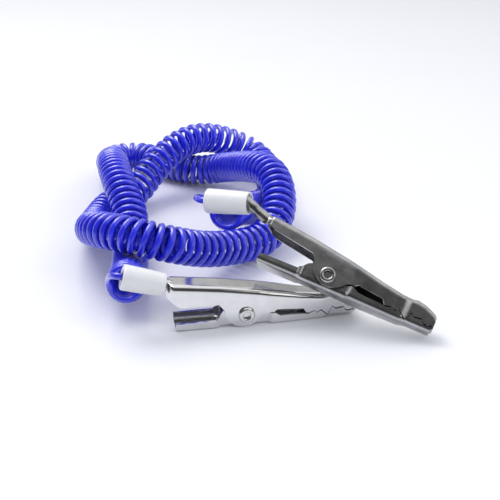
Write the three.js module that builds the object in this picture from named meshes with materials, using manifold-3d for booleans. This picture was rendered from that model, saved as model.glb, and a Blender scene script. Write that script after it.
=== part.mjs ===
// Curly ground cord with an alligator clip on each end. Millimetres, +Z up.
// A clip is built in its own frame: x to the nose, z up, bottom plate at z = 0, hinge at (0, HINGE_Z).
import * as THREE from 'three';
import { mergeVertices } from 'three/addons/utils/BufferGeometryUtils.js';
import Module from 'manifold-3d';

// ---- driving dimensions ----
const ORIGIN = [6.599, 225.374, 0];   // scene point that becomes (0, 0, 0) of the part
const HINGE_Z = 3.4;
const HALF_WIDTH = 3.6;            // half the outside width of a jaw behind the taper
const TAPER_FROM = 6;              // the sides taper from here to the nose
const TAPER = 0.058;
const NOSE_STEP = [19.7, 21.5];    // slanted step where the sides turn in to the nose
const BACK_STEP = [-17.8, -19.4];  // and where the upper jaw's sides close in on the crimp tail
const BACK_HALF_WIDTH = 1.9;
const NOSE_HALF_WIDTH = 2.35;
const SHEET = 0.55;
const CORNER = 1.3;                // outside corner radius between plate and side wall
const EAR_HALF_WIDTH = 2.75;       // lower jaw between the ears of the upper jaw
const EAR_HOLE = 1.6;
const LOWER_CORNER = 1.1;
const RIVET = { body: 1.3, hole: 0.95, crown: 1.6, rim: 2.05, inside: 3.9, outside: 4.35, round: 0.2 };
const SPRING = { wire: 0.6, mean: 2.05, pitch: 1.15, turns: 2, legX: -6.2, underPlate: 0.65 };
const BARREL = { outer: 1.5, inner: 0.95, from: -17.9, end: -27.5, seam: 0.5, lap: 0.2 };
const CORE = 0.6;                  // radius of the bare conductor in the crimp barrel
const CORE_LENGTH = 7.2;
const SLEEVE = { clipEnd: 2.9, cordEnd: 3.2, bore: 2.5, lip: 1.5, lipDepth: 1.2, chamfer: 0.3 };
const WIRE = 1.8;                  // outside diameter of the insulated wire
const COIL_RADIUS = 4.1;           // centre of the wire to the axis of the curls
const CURLS = 92;
const STEPS = 8;                   // points in one curl
const SIDES = 5;
const CLEAR = 0.1;                 // lift of the curls off the surface
const SMOOTHING = 14;              // passes over the points of the axis
const EVEN = 0.97;                 // curls on a straight axis lie this much closer than the mean
const OPEN_GAP = 0.7;              // between curls on the inside of a bend
const LEAST_OPEN = 0.3;            // share of the pitch left on the inside of the tightest bend
const WIRE_START = 0.4;            // from the end of the tail to the wire inside a sleeve
const LEAD_REACH = 0.3;           // how far a lead runs on straight, as a share of its span
const LEAD_OUT = 0.2;              // straight beyond the end of the sleeve

// Each clip: pivot position, [yaw, pitch, roll] in degrees, rise of the crimp tail, the round ear of
// the upper jaw with the angle where it ends, and the lower edge of that jaw's wall at the handle.
// The sleeve covers a length of the tail, and the rear one points at its own end point.
const FRONT = {
  pivot: [-1.439, 220.851, 3.4], turn: [10.14, 0, 0], tailSlope: 0.3,
  ear: { x: -0.7, z: 4.92, radius: 4.74, endAngle: -20 },
  handleEdge: [[-5.5, 5.0], [-6.8, 6.6], [-16.2, 6.4], [-19.2, 8.8], [-20, 9.0]],
  sleeve: { covers: 8.1, length: 10.5, aside: 0, end: null },
};
const REAR = {
  pivot: [18.993, 220.697, 11.401], turn: [-18.98, 16.12, -44.73], tailSlope: 0.35,
  ear: { x: 0.6, z: 5.9, radius: 5.2, endAngle: -32 },
  handleEdge: [[-4.65, 6.2], [-5.6, 7.2], [-16.6, 9.0], [-19.2, 10.4], [-20, 10.6]],
  sleeve: { covers: 1.9, length: 11.6, aside: 0.2, end: [-10.5, 238.6, 24.8] },
};

// Axis of the curls, from the front clip to the rear clip.
const ROUTE = [
  [-30.7, 222, 9.2], [-31, 226.5, 8.4], [-31.4, 231, 7], [-31.8, 236.5, 5.5], [-32.3, 245, 5.4],
  [-32.8, 252, 6.5], [-33.2, 259, 9.5], [-34.9, 266, 12.6], [-37.8, 274, 15.2], [-39.8, 281, 15.9],
  [-41.6, 289, 15.6], [-43.2, 298.5, 13.8], [-44.8, 308, 10.6], [-46.4, 316, 8], [-47, 323.5, 6],
  [-44.6, 329.6, 5.1], [-38.8, 331.2, 5], [-32.4, 327, 5], [-25.6, 321, 5], [-18, 316.7, 5],
  [-12, 315.5, 6], [-8, 312.5, 7.6], [-3.4, 305, 10.6], [0.4, 297, 13.4], [3.6, 290, 15.4],
  [6.3, 284.5, 15.9], [8.2, 278, 14.4], [8.7, 272.5, 12], [8.3, 267.5, 9.6], [6.8, 263, 7.3],
  [4.2, 259, 5.6], [0.5, 255.3, 5.4], [-4.2, 251, 6.4], [-9.6, 245.8, 8], [-14.7, 241, 10.4],
  [-18.6, 237.6, 12.7], [-22.3, 235.4, 14.5], [-26.2, 235, 15.7], [-30.6, 236.2, 16.3], [-35.2, 239, 16],
  [-39.6, 244, 14.5], [-42.8, 251, 11.9], [-44.2, 258.5, 8.6], [-44.9, 265, 6.5], [-45.1, 271, 5.2],
  [-44.2, 278, 5], [-43, 284, 5], [-40.3, 289.5, 5], [-36.5, 294.5, 5.2], [-33.5, 299.5, 8],
  [-30, 304.5, 11.2], [-26, 310, 14], [-21, 315.5, 15.7], [-15, 321, 15.2], [-9, 325.5, 12.6],
  [-4, 328, 10], [0.8, 328, 7.4], [4, 323.5, 5.6], [6, 316, 5], [6.8, 308, 5], [7.2, 300, 5],
  [6.6, 292, 5], [3.4, 284.5, 5.2], [-0.5, 277, 7.3], [-2.7, 270.5, 10], [-4.4, 264, 12.2],
  [-6.5, 256.8, 14],
];

// ---- side profiles, [x, z] ----
const TOP_LINE = [[-18.6, 12.54], [-17.45, 12.4], [-6.5, 11.1], [3.4, 9.5], [13.5, 7.5], [18.65, 6.7],
  [20.6, 6.65], [22.5, 7.0], [24.6, 6.55], [26.5, 5.75], [27.5, 5.2], [28.0, 4.5]];
const TEETH = [[15.2, 2.1], [15.9, 2.05], [17.2, 2.6], [18, 2.0], [19, 2.6], [20.8, 0.95], [22, 3.1],
  [22.9, 2.4], [24.8, 2.7], [25.6, 1.7], [26.4, 1.6], [27.3, 2.2]];
const TEETH_GAP = 0.5;

// ---- helpers ----
const wasm = await Module();
wasm.setup();
const { Manifold } = wasm;

function solid(points, faces) {
  const make = (f) => new Manifold(new wasm.Mesh({
    numProp: 3, vertProperties: Float32Array.from(points.flat()), triVerts: Uint32Array.from(f.flat()),
  }));
  const body = make(faces);
  return body.volume() > 0 ? body : make(faces.map(([a, b, c]) => [a, c, b]));
}

function solidOf(geometry) {
  geometry.deleteAttribute('normal');
  geometry.deleteAttribute('uv');
  const g = mergeVertices(geometry, 1e-4);
  const p = g.attributes.position, points = [], faces = [];
  for (let i = 0; i < p.count; i++) points.push([p.getX(i), p.getY(i), p.getZ(i)]);
  for (let i = 0; i < g.index.count; i += 3) {
    const f = [g.index.getX(i), g.index.getX(i + 1), g.index.getX(i + 2)];
    if (f[0] !== f[1] && f[1] !== f[2] && f[0] !== f[2]) faces.push(f);
  }
  return solid(points, faces);
}

// Polygon given as [x, z], made solid from y = -half to y = half.
function sidePrism(polygon, half) {
  const shape = new THREE.Shape(polygon.map(([x, z]) => new THREE.Vector2(x, z)));
  const g = new THREE.ExtrudeGeometry(shape, { depth: 2 * half, bevelEnabled: false });
  g.rotateX(Math.PI / 2);
  g.translate(0, half, 0);
  return solidOf(g);
}

// Rings of equal length joined into a closed body.
function loft(rings) {
  const n = rings[0].length, faces = [];
  for (let r = 0; r + 1 < rings.length; r++) {
    for (let i = 0; i < n; i++) {
      const a = r * n + i, b = r * n + (i + 1) % n;
      faces.push([a, b, b + n], [a, b + n, a + n]);
    }
  }
  const last = (rings.length - 1) * n;
  for (let i = 1; i + 1 < n; i++) faces.push([0, i + 1, i], [last, last + i, last + i + 1]);
  return solid(rings.flat(), faces);
}

function along(line, x) {
  for (let i = 0; i + 1 < line.length; i++) {
    const [a, b] = [line[i], line[i + 1]];
    if (x <= b[0] || i + 2 === line.length) return a[1] + (b[1] - a[1]) * (x - a[0]) / (b[0] - a[0]);
  }
  return line[0][1];
}

function halfWidth(x) {
  if (x < BACK_STEP[0]) {
    const t = (BACK_STEP[0] - x) / (BACK_STEP[0] - BACK_STEP[1]);
    return HALF_WIDTH + (BACK_HALF_WIDTH - HALF_WIDTH) * Math.min(1, t);
  }
  if (x < TAPER_FROM) return HALF_WIDTH;
  const side = HALF_WIDTH - TAPER * (x - TAPER_FROM);
  if (x < NOSE_STEP[0]) return side;
  const t = Math.min(1, (x - NOSE_STEP[0]) / (NOSE_STEP[1] - NOSE_STEP[0]));
  return side + (NOSE_HALF_WIDTH - side) * t;
}

function lowerHalfWidth(x) {
  const steps = [[-7.3, 0], [-6.2, 1], [5.6, 1], [6.5, 0]];
  return halfWidth(x) + (EAR_HALF_WIDTH - halfWidth(x)) * Math.min(1, Math.max(0, along(steps, x)));
}

// Rounded section at x: plate on the side `up` (1 or -1), open end at zOpen.
function section(x, half, zPlate, radius, zOpen, up) {
  const ring = [[x, -half, zOpen]];
  for (let k = 0; k <= 3; k++) {
    const a = (k / 3) * Math.PI / 2;
    ring.push([x, -half + radius * (1 - Math.cos(a)), zPlate - up * radius * (1 - Math.sin(a))]);
  }
  for (let k = 3; k >= 0; k--) {
    const a = (k / 3) * Math.PI / 2;
    ring.push([x, half - radius * (1 - Math.cos(a)), zPlate - up * radius * (1 - Math.sin(a))]);
  }
  ring.push([x, half, zOpen]);
  return ring;
}

// Round bar along local y from `from` to `to`, standing at x, z.
const bar = (radius, from, to, sides = 24) => solidOf(
  new THREE.CylinderGeometry(radius, radius, to - from, sides).translate(0, (from + to) / 2, 0));
const pinHole = () => bar(EAR_HOLE, -6, 6).translate([0, 0, HINGE_Z]);

// ---- the pieces of one clip, in the clip's own frame ----
function upperJaw(clip) {
  const xs = [-19.4, -18.6, -17.8, -12, -6.5, -1.5, 3.4, 6, 8.5, 11, 13.5, 16, 18.65, 19.7, 20.6, 21.5, 22.5,
    23.6, 24.6, 25.6, 26.5, 27.1, 27.5, 28.0];
  const outer = loft(xs.map((x) => section(x, halfWidth(x), along(TOP_LINE, x), CORNER, -1, 1)));
  const inside = [-20.3, ...xs.slice(1, -2), 27.45];
  const inner = loft(inside.map((x) => section(
    x, halfWidth(x) - SHEET, along(TOP_LINE, x) - SHEET, CORNER - SHEET, -2, 1)));
  const ear = [], round = clip.ear;
  for (let k = 0; k <= 14; k++) {
    const a = (round.endAngle - k * (180 + round.endAngle) / 14) * Math.PI / 180;
    ear.push([round.x + round.radius * Math.cos(a), round.z + round.radius * Math.sin(a)]);
  }
  const teeth = TEETH.slice().reverse().map(([x, z]) => [x, z + TEETH_GAP / 2]);
  const outline = [[-20, 14], [29, 14], [29, 1.4], [27.8, 1.4], ...teeth, [14.4, 3.5], [7.7, 4.1],
    [6.95, 3.45], [6.2, 3.45], ...ear, ...clip.handleEdge];
  const jaw = outer.subtract(inner).intersect(sidePrism(outline.reverse(), 5)).subtract(pinHole());
  const t = tail(clip.tailSlope), run = t.length + BARREL.lap;
  const seam = new THREE.BoxGeometry(3, run + 2, BARREL.seam).translate(-1.5, run / 2, 0);
  const barrel = bar(BARREL.outer, 0, run, 18).subtract(bar(BARREL.inner, -1, run + 1, 18))
    .subtract(solidOf(seam));
  return jaw.add(barrel.rotate([0, 0, 90]).rotate([90, 0, 0]).rotate([0, t.rise, 0]).translate(t.from));
}

// Centre line of the crimp barrel.
function tail(slope) {
  const from = [BARREL.from, 0, along(TOP_LINE, BARREL.from) - BARREL.outer];
  const run = BARREL.from - BARREL.end, rise = Math.atan(slope) * 180 / Math.PI;
  const end = [BARREL.end, 0, from[2] + slope * run];
  return { from, end, rise, length: Math.hypot(run, slope * run) - BARREL.lap };
}

function lowerJaw() {
  const xs = [-17.5, -12, -7.3, -6.2, -2, 1.5, 5.6, 6.5, 9, 12, 15, 17.5, 19.7, 20.6, 21.5, 23, 25, 27.5];
  const zb = (x) => along([[-18, 0], [19.7, 0], [21.5, 0.35], [28, 0.35]], x);
  const outer = loft(xs.map((x) => section(x, lowerHalfWidth(x), zb(x), LOWER_CORNER, 9, -1)));
  const inner = loft([-18.5, ...xs.slice(1, -1), 28.5].map((x) => section(
    x, lowerHalfWidth(Math.min(x, 27.5)) - SHEET, zb(x) + SHEET, LOWER_CORNER - SHEET, 10, -1)));
  const teeth = TEETH.map(([x, z]) => [x, z - TEETH_GAP / 2]);
  const outline = [[-18, -1], [29, -1], [27.6, 1.3], [27.2, 1.75], ...teeth.slice(0, -1).reverse(),
    [14.6, 2.05], [8.5, 2.2], [6.9, 3.1], [5.4, 3.1], [3.7, 3.6], [2.9, 4.9], [1.6, 5.9], [0, 6.25],
    [-1.6, 6.05], [-3.6, 5.5], [-5.6, 4.5], [-7.4, 2.25], [-16.8, 2.15], [-18, 2.0]];
  return outer.subtract(inner).intersect(sidePrism(outline, 5)).subtract(pinHole());
}

function rivet() {
  const { body, hole, crown, rim, inside, outside, round } = RIVET, side = [];
  side.push([hole, round - outside], [hole + round, -outside], [crown, -outside]);
  side.push([rim, -inside - round], [rim, -inside], [body, -inside]);
  const profile = [...side, ...side.map(([r, y]) => [r, -y]).reverse(), side[0]];
  const g = new THREE.LatheGeometry(profile.map(([r, y]) => new THREE.Vector2(r, y)), 28);
  return solidOf(g).translate([0, 0, HINGE_Z]);
}

function springPath() {
  const { mean, pitch, turns, legX } = SPRING;
  const high = along(TOP_LINE, legX) - SHEET - SPRING.underPlate;
  const lean = Math.atan2(high - HINGE_Z - mean, -legX);
  const a0 = Math.PI / 2 - lean, sweep = a0 + Math.PI / 2 + 2 * Math.PI * turns;
  const steps = Math.round(sweep / (2 * Math.PI) * STEPS), width = pitch * sweep / (2 * Math.PI);
  const at = (a, y) => new THREE.Vector3(mean * Math.cos(a), y, HINGE_Z + mean * Math.sin(a));
  const path = [];
  const start = at(a0, -width / 2), leg = -legX / Math.cos(lean);
  for (const d of [leg, leg - SPRING.wire, leg / 2]) {
    path.push(start.clone().add(new THREE.Vector3(-Math.cos(lean), 0, Math.sin(lean)).multiplyScalar(d)));
  }
  for (let i = 0; i <= steps; i++) path.push(at(a0 - sweep * i / steps, width * (i / steps - 0.5)));
  const end = path[path.length - 1];
  for (const d of [-legX / 2, -legX - SPRING.wire, -legX]) {
    path.push(end.clone().add(new THREE.Vector3(-d, 0, 0)));
  }
  return path;
}

// A round tube along points, closed with flat ends; the section is carried without twist.
function tube(path, radius, sides) {
  const points = [], faces = [], n = path.length;
  const dir = (i) => {
    const a = path[Math.max(0, i - 1)], b = path[i], c = path[Math.min(n - 1, i + 1)];
    const u = b.clone().sub(a).normalize(), v = c.clone().sub(b).normalize();
    return u.add(v).normalize();
  };
  let t = dir(0), side = new THREE.Vector3(0, 0, 1).cross(t);
  if (side.length() < 0.2) side = new THREE.Vector3(1, 0, 0).cross(t);
  side.normalize();
  for (let i = 0; i < n; i++) {
    const t1 = dir(i);
    side.applyQuaternion(new THREE.Quaternion().setFromUnitVectors(t, t1));
    side.addScaledVector(t1, -side.dot(t1)).normalize();
    t = t1;
    const up = t.clone().cross(side);
    for (let k = 0; k < sides; k++) {
      const a = 2 * Math.PI * k / sides;
      const p = path[i].clone().addScaledVector(side, radius * Math.cos(a));
      points.push(p.addScaledVector(up, radius * Math.sin(a)).toArray());
    }
  }
  for (let i = 0; i + 1 < n; i++) {
    for (let k = 0; k < sides; k++) {
      const a = i * sides + k, b = i * sides + (k + 1) % sides;
      faces.push([a, b, b + sides], [a, b + sides, a + sides]);
    }
  }
  const last = (n - 1) * sides;
  for (let k = 1; k + 1 < sides; k++) faces.push([0, k + 1, k], [last, last + k, last + k + 1]);
  const g = new THREE.BufferGeometry();
  g.setAttribute('position', new THREE.Float32BufferAttribute(points.flat(), 3));
  g.setIndex(faces.flat());
  g.computeVertexNormals();
  return g;
}

// ---- placing ----
const V = (p) => new THREE.Vector3(...p);

function poseOf({ pivot, turn }) {
  const [yaw, pitch, roll] = turn.map((d) => d * Math.PI / 180);
  return new THREE.Matrix4().makeRotationFromEuler(new THREE.Euler(roll, pitch, yaw, 'ZYX'))
    .setPosition(...pivot).multiply(new THREE.Matrix4().makeTranslation(0, 0, -HINGE_Z));
}

function geometryOf(body) {
  const m = body.getMesh(), p = new Float32Array(m.numVert * 3);
  for (let i = 0; i < m.numVert; i++) {
    for (let k = 0; k < 3; k++) p[3 * i + k] = m.vertProperties[i * m.numProp + k];
  }
  const g = new THREE.BufferGeometry();
  g.setAttribute('position', new THREE.BufferAttribute(p, 3));
  g.setIndex(Array.from(m.triVerts));
  g.computeVertexNormals();
  return g;
}

const MATERIALS = {
  plated_steel: new THREE.MeshStandardMaterial({ color: 0xc9ccd1, metalness: 1, roughness: 0.2 }),
  spring_steel: new THREE.MeshStandardMaterial({ color: 0x9a9ca0, metalness: 1, roughness: 0.35 }),
  white_sleeve: new THREE.MeshStandardMaterial({ color: 0xf2f2f0, roughness: 0.35 }),
  blue_cord: new THREE.MeshStandardMaterial({ color: 0x0a22c8, roughness: 0.25 }),
  bare_conductor: new THREE.MeshStandardMaterial({ color: 0xb87333, metalness: 1, roughness: 0.35 }),
};
const part = new THREE.Group();
const layout = new THREE.Group();
layout.position.set(-ORIGIN[0], -ORIGIN[1], -ORIGIN[2]);
part.add(layout);

function place(parent, name, geometry, material, matrix = new THREE.Matrix4()) {
  const mesh = new THREE.Mesh(geometry, MATERIALS[material]);
  mesh.name = name;
  mesh.applyMatrix4(matrix);
  parent.add(mesh);
}

function sleeveGeometry(length) {
  const { clipEnd, cordEnd, bore, lip, lipDepth, chamfer } = SLEEVE;
  const profile = [[bore, 0], [clipEnd - chamfer / 2, 0], [clipEnd, chamfer / 2],
    [cordEnd, length - chamfer], [cordEnd - chamfer, length], [lip + chamfer / 2, length],
    [lip, length - chamfer / 2], [lip, length - lipDepth], [bore, length - lipDepth - 0.6], [bore, 0]];
  const g = new THREE.LatheGeometry(profile.map(([r, y]) => new THREE.Vector2(r, y)), 26);
  return geometryOf(solidOf(g));
}

// Local y axis carried onto the line from a to b.
function ontoLine(a, b) {
  const line = b.clone().sub(a).normalize();
  const q = new THREE.Quaternion().setFromUnitVectors(new THREE.Vector3(0, 1, 0), line);
  return new THREE.Matrix4().makeRotationFromQuaternion(q).setPosition(a);
}

function buildClip(name, clip) {
  const pose = poseOf(clip), t = tail(clip.tailSlope);
  const end = V(t.end).applyMatrix4(pose);
  const dir = end.clone().sub(V(t.from).applyMatrix4(pose)).normalize();
  const metal = new THREE.Group();
  metal.applyMatrix4(pose);
  layout.add(metal);
  place(metal, `${name}_upper_jaw`, geometryOf(upperJaw(clip)), 'plated_steel');
  place(metal, `${name}_lower_jaw`, geometryOf(lowerJaw()), 'plated_steel');
  place(metal, `${name}_rivet`, geometryOf(rivet()), 'plated_steel');
  place(metal, `${name}_spring`, tube(springPath(), SPRING.wire / 2, SIDES), 'spring_steel');
  // The sleeve starts part way along the tail; the rear one is bent away from it.
  const { covers, length, aside, end: target } = clip.sleeve;
  const mouth = end.clone().addScaledVector(dir, -covers);
  const axis = target ? V(target).sub(mouth).normalize() : dir.clone();
  const inLine = dir.dot(axis), across = Math.sqrt(Math.max(0, 1 - inLine ** 2));
  const shift = dir.clone().addScaledVector(axis, -inLine).normalize();
  mouth.addScaledVector(shift, aside);
  const cordEnd = mouth.clone().addScaledVector(axis, length);
  place(layout, `${name}_sleeve`, sleeveGeometry(length), 'white_sleeve', ontoLine(mouth, cordEnd));
  const coreFrom = end.clone().addScaledVector(dir, -CORE_LENGTH);
  const core = new THREE.CylinderGeometry(CORE, CORE, CORE_LENGTH, 12);
  core.translate(0, CORE_LENGTH / 2, 0);
  place(layout, `${name}_conductor_end`, core, 'bare_conductor', ontoLine(coreFrom, end));
  const deep = covers * inLine + BARREL.outer * across + WIRE_START;
  return { start: mouth.clone().addScaledVector(axis, deep), out: cordEnd, axis };
}

// ---- the curls ----
// Route smoothed to even spacing, then a left-handed curl wound round it.
function smoothAxis(route, spacing) {
  const curve = new THREE.CatmullRomCurve3(route.map((p) => V(p).setZ(p[2] + CLEAR)), false, 'centripetal');
  curve.arcLengthDivisions = 4000;
  const n = Math.round(curve.getLength() / spacing);
  let pts = curve.getSpacedPoints(n);
  for (let pass = 0; pass < SMOOTHING; pass++) {
    pts = pts.map((p, i) => (i === 0 || i === n ? p.clone()
      : p.clone().multiplyScalar(2).add(pts[i - 1]).add(pts[i + 1]).multiplyScalar(0.25)));
  }
  return pts;
}

// Share of all the curls made up to each point: curls open up where the axis bends tightly.
function turnedAlong(tangent, s, pitch) {
  const n = s.length - 1, rate = tangent.map((t, i) => {
    const a = Math.max(0, i - 3), b = Math.min(n, i + 3);
    const bend = tangent[a].angleTo(tangent[b]) / (s[b] - s[a]);
    const inside = Math.max(LEAST_OPEN, 1 - COIL_RADIUS * bend);
    return 1 / Math.max(pitch * EVEN, (WIRE + OPEN_GAP) / inside);
  });
  const turned = [0];
  for (let i = 1; i <= n; i++) turned.push(turned[i - 1] + (rate[i] + rate[i - 1]) / 2 * (s[i] - s[i - 1]));
  return turned.map((v) => v / turned[n]);
}

function curls(count, perCurl) {
  const axis = smoothAxis(ROUTE, 1), n = axis.length - 1;
  const s = [0];
  for (let i = 1; i <= n; i++) s.push(s[i - 1] + axis[i].distanceTo(axis[i - 1]));
  const tangent = axis.map((p, i) => (
    axis[Math.min(n, i + 1)].clone().sub(axis[Math.max(0, i - 1)]).normalize()));
  const left = new THREE.Vector3(-1, 0, 0), normal = [];
  normal.push(left.clone().addScaledVector(tangent[0], -left.dot(tangent[0])).normalize());
  for (let i = 1; i <= n; i++) {
    const v = normal[i - 1].clone()
      .applyQuaternion(new THREE.Quaternion().setFromUnitVectors(tangent[i - 1], tangent[i]));
    normal.push(v.addScaledVector(tangent[i], -v.dot(tangent[i])).normalize());
  }
  const binormal = tangent.map((t, i) => t.clone().cross(normal[i]));
  const phaseEnd = Math.atan2(left.dot(binormal[n]), left.dot(normal[n]));
  const total = -2 * Math.PI * count + phaseEnd;
  const steps = Math.round(Math.abs(total) / (2 * Math.PI) * perCurl), path = [];
  const turned = turnedAlong(tangent, s, s[n] / count);
  let i = 0;
  for (let k = 0; k <= steps; k++) {
    const phase = total * k / steps;
    while (i < n - 1 && turned[i + 1] < k / steps) i++;
    const f = (k / steps - turned[i]) / (turned[i + 1] - turned[i]);
    const c = axis[i].clone().lerp(axis[i + 1], f);
    const a = normal[i].clone().lerp(normal[i + 1], f).normalize();
    const b = binormal[i].clone().lerp(binormal[i + 1], f).normalize();
    c.addScaledVector(a, COIL_RADIUS * Math.cos(phase));
    path.push(c.addScaledVector(b, COIL_RADIUS * Math.sin(phase)));
  }
  return path;
}

// From inside a sleeve, straight out of it, then round into the first curl.
function lead(clipEnd, first, tangent) {
  const { start, out, axis } = clipEnd;
  const a = out.clone().addScaledVector(axis, LEAD_OUT), path = [];
  path.push(start, start.clone().addScaledVector(axis, WIRE), out.clone().addScaledVector(axis, -1));
  const reach = a.distanceTo(first) * LEAD_REACH;
  const b = a.clone().addScaledVector(axis, reach), c = first.clone().addScaledVector(tangent, -reach);
  const bend = new THREE.CubicBezierCurve3(a, b, c, first);
  for (let k = 0; k < 8; k++) path.push(bend.getPoint(k / 8));
  return path;
}

function cordPath(frontEnd, rearEnd, count, perCurl) {
  const body = curls(count, perCurl), n = body.length;
  const t0 = body[1].clone().sub(body[0]).normalize();
  const t1 = body[n - 2].clone().sub(body[n - 1]).normalize();
  return [...lead(frontEnd, body[0], t0), ...body, ...lead(rearEnd, body[n - 1], t1).reverse()];
}

function leastGap(path, reach) {
  const s = [0];
  for (let i = 1; i < path.length; i++) s.push(s[i - 1] + path[i].distanceTo(path[i - 1]));
  let least = 1e9, where = null;
  for (let i = 0; i < path.length; i++) {
    for (let j = i + 1; j < path.length; j++) {
      if (s[j] - s[i] < reach) continue;
      const d = path[i].distanceTo(path[j]);
      if (d < least) { least = d; where = [path[i], path[j]]; }
    }
  }
  const lowest = Math.min(...path.map((p) => p.z));
  const places = where.map((p) => p.toArray().map((v) => +v.toFixed(1)));
  return { gap: least - WIRE, places, length: s.at(-1), lowest };
}

const frontEnd = buildClip('front', FRONT);
const rearEnd = buildClip('rear', REAR);
const cord = cordPath(frontEnd, rearEnd, CURLS, STEPS);
place(layout, 'coiled_cord', tube(cord, WIRE / 2, SIDES), 'blue_cord');

const fine = leastGap(cordPath(frontEnd, rearEnd, CURLS, 24), 12);
console.error('least gap of the cord to itself', fine.gap.toFixed(2), 'mm, wire length',
  fine.length.toFixed(0), 'mm, lowest centre', fine.lowest.toFixed(2), JSON.stringify(fine.places));

part.updateMatrixWorld(true);
export default part;
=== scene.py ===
import math

import bmesh
import bpy
from mathutils import Matrix, Vector


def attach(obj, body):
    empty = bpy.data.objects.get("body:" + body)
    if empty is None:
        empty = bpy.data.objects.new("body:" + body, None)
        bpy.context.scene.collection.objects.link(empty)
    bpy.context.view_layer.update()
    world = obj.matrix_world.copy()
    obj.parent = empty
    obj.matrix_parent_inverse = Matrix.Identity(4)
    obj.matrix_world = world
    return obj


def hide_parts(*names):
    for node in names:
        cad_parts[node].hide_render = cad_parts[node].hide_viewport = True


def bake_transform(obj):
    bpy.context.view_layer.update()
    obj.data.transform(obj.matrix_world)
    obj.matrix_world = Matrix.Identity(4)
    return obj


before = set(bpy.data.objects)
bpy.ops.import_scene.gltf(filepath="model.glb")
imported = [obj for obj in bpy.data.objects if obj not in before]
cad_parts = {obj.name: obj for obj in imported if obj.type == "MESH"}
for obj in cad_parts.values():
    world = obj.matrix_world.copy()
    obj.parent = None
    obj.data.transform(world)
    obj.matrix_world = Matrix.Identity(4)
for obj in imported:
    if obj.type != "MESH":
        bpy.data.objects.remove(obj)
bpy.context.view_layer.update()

bl_info = {
    "name": "Curly Ground Cord",
    "version": (1, 0, 0),
    "blender": (4, 5, 0),
    "location": "View3D > Sidebar > Ground Cord",
    "description": "A curly blue cord with an alligator clip on each end, on a pale surface",
    "category": "Add Mesh",
}

MM = 0.001
BODY = "clips_and_cord"
CLIPS = ("front", "rear")

# Where the part lies, in millimetres: the scene point that the part's origin stands for, each clip's
# hinge point, its yaw, pitch and roll in degrees, and the rise of its crimp tail per millimetre.
ORIGIN = Vector((6.599, 225.374, 0.0))
HINGE_Z = 3.4
POSES = {
    "front": {"pivot": (-1.439, 220.851, 3.4), "turn": (10.14, 0.0, 0.0), "tail": 0.3},
    "rear": {"pivot": (18.993, 220.697, 11.401), "turn": (-18.98, 16.12, -44.73), "tail": 0.35},
}
# The sleeves: length of tail inside, own length, and for the rear one, which is bent away from its
# tail, how far aside its mouth sits and the point that it leads to.
SLEEVES = {
    "front": {"covers": 8.1, "length": 10.5, "aside": 0.0, "end": None},
    "rear": {"covers": 1.9, "length": 11.6, "aside": 0.2, "end": Vector((-10.5, 238.6, 24.8))},
}
# The wire starts this far past the tail's end. It goes on straight for LEAD_OUT millimetres outside its
# sleeve, then bends into the first curl, its handles LEAD_REACH of the distance long.
WIRE_START = 0.4
LEAD_OUT = 0.2
LEAD_REACH = 0.3
LEAD_STEPS = 36
STRAIGHT_STEP = 0.5
# The crimp tail: where it starts and ends along x, and the barrel that it is rolled into. The barrel's
# half opening goes from BARREL_OPEN to BARREL_CLOSED degrees over the first BARREL_CLOSES millimetres.
TAIL_FROM = -17.9
TAIL_END = -27.5
BARREL_RADIUS = 1.5
BARREL_ROWS = 26
BARREL_POINTS = 33
BARREL_OPEN = 48
BARREL_CLOSED = 166
BARREL_CLOSES = 3.4
# The narrow place that the crimping tool leaves: its middle and spread along the barrel, and its depth
# as a share of the radius.
CRIMP_AT = 5.6
CRIMP_SPREAD = 0.9
CRIMP_DEPTH = 0.10

# Axis of the curls from the front clip to the rear clip, the points of part.mjs. CLEAR lifts it, so that
# the curls stay off the surface.
CLEAR = 0.1
ROUTE = (
    (-30.7, 222, 9.2), (-31, 226.5, 8.4), (-31.4, 231, 7), (-31.8, 236.5, 5.5), (-32.3, 245, 5.4),
    (-32.8, 252, 6.5), (-33.2, 259, 9.5), (-34.9, 266, 12.6), (-37.8, 274, 15.2),
    (-39.8, 281, 15.9), (-41.6, 289, 15.6), (-43.2, 298.5, 13.8), (-44.8, 308, 10.6),
    (-46.4, 316, 8), (-47, 323.5, 6), (-44.6, 329.6, 5.1), (-38.8, 331.2, 5), (-32.4, 327, 5),
    (-25.6, 321, 5), (-18, 316.7, 5), (-12, 315.5, 6), (-8, 312.5, 7.6), (-3.4, 305, 10.6),
    (0.4, 297, 13.4), (3.6, 290, 15.4), (6.3, 284.5, 15.9), (8.2, 278, 14.4), (8.7, 272.5, 12),
    (8.3, 267.5, 9.6), (6.8, 263, 7.3), (4.2, 259, 5.6), (0.5, 255.3, 5.4), (-4.2, 251, 6.4),
    (-9.6, 245.8, 8), (-14.7, 241, 10.4), (-18.6, 237.6, 12.7), (-22.3, 235.4, 14.5),
    (-26.2, 235, 15.7), (-30.6, 236.2, 16.3), (-35.2, 239, 16), (-39.6, 244, 14.5),
    (-42.8, 251, 11.9), (-44.2, 258.5, 8.6), (-44.9, 265, 6.5), (-45.1, 271, 5.2), (-44.2, 278, 5),
    (-43, 284, 5), (-40.3, 289.5, 5), (-36.5, 294.5, 5.2), (-33.5, 299.5, 8), (-30, 304.5, 11.2),
    (-26, 310, 14), (-21, 315.5, 15.7), (-15, 321, 15.2), (-9, 325.5, 12.6), (-4, 328, 10),
    (0.8, 328, 7.4), (4, 323.5, 5.6), (6, 316, 5), (6.8, 308, 5), (7.2, 300, 5), (6.6, 292, 5),
    (3.4, 284.5, 5.2), (-0.5, 277, 7.3), (-2.7, 270.5, 10), (-4.4, 264, 12.2), (-6.5, 256.8, 14),
)
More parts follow.
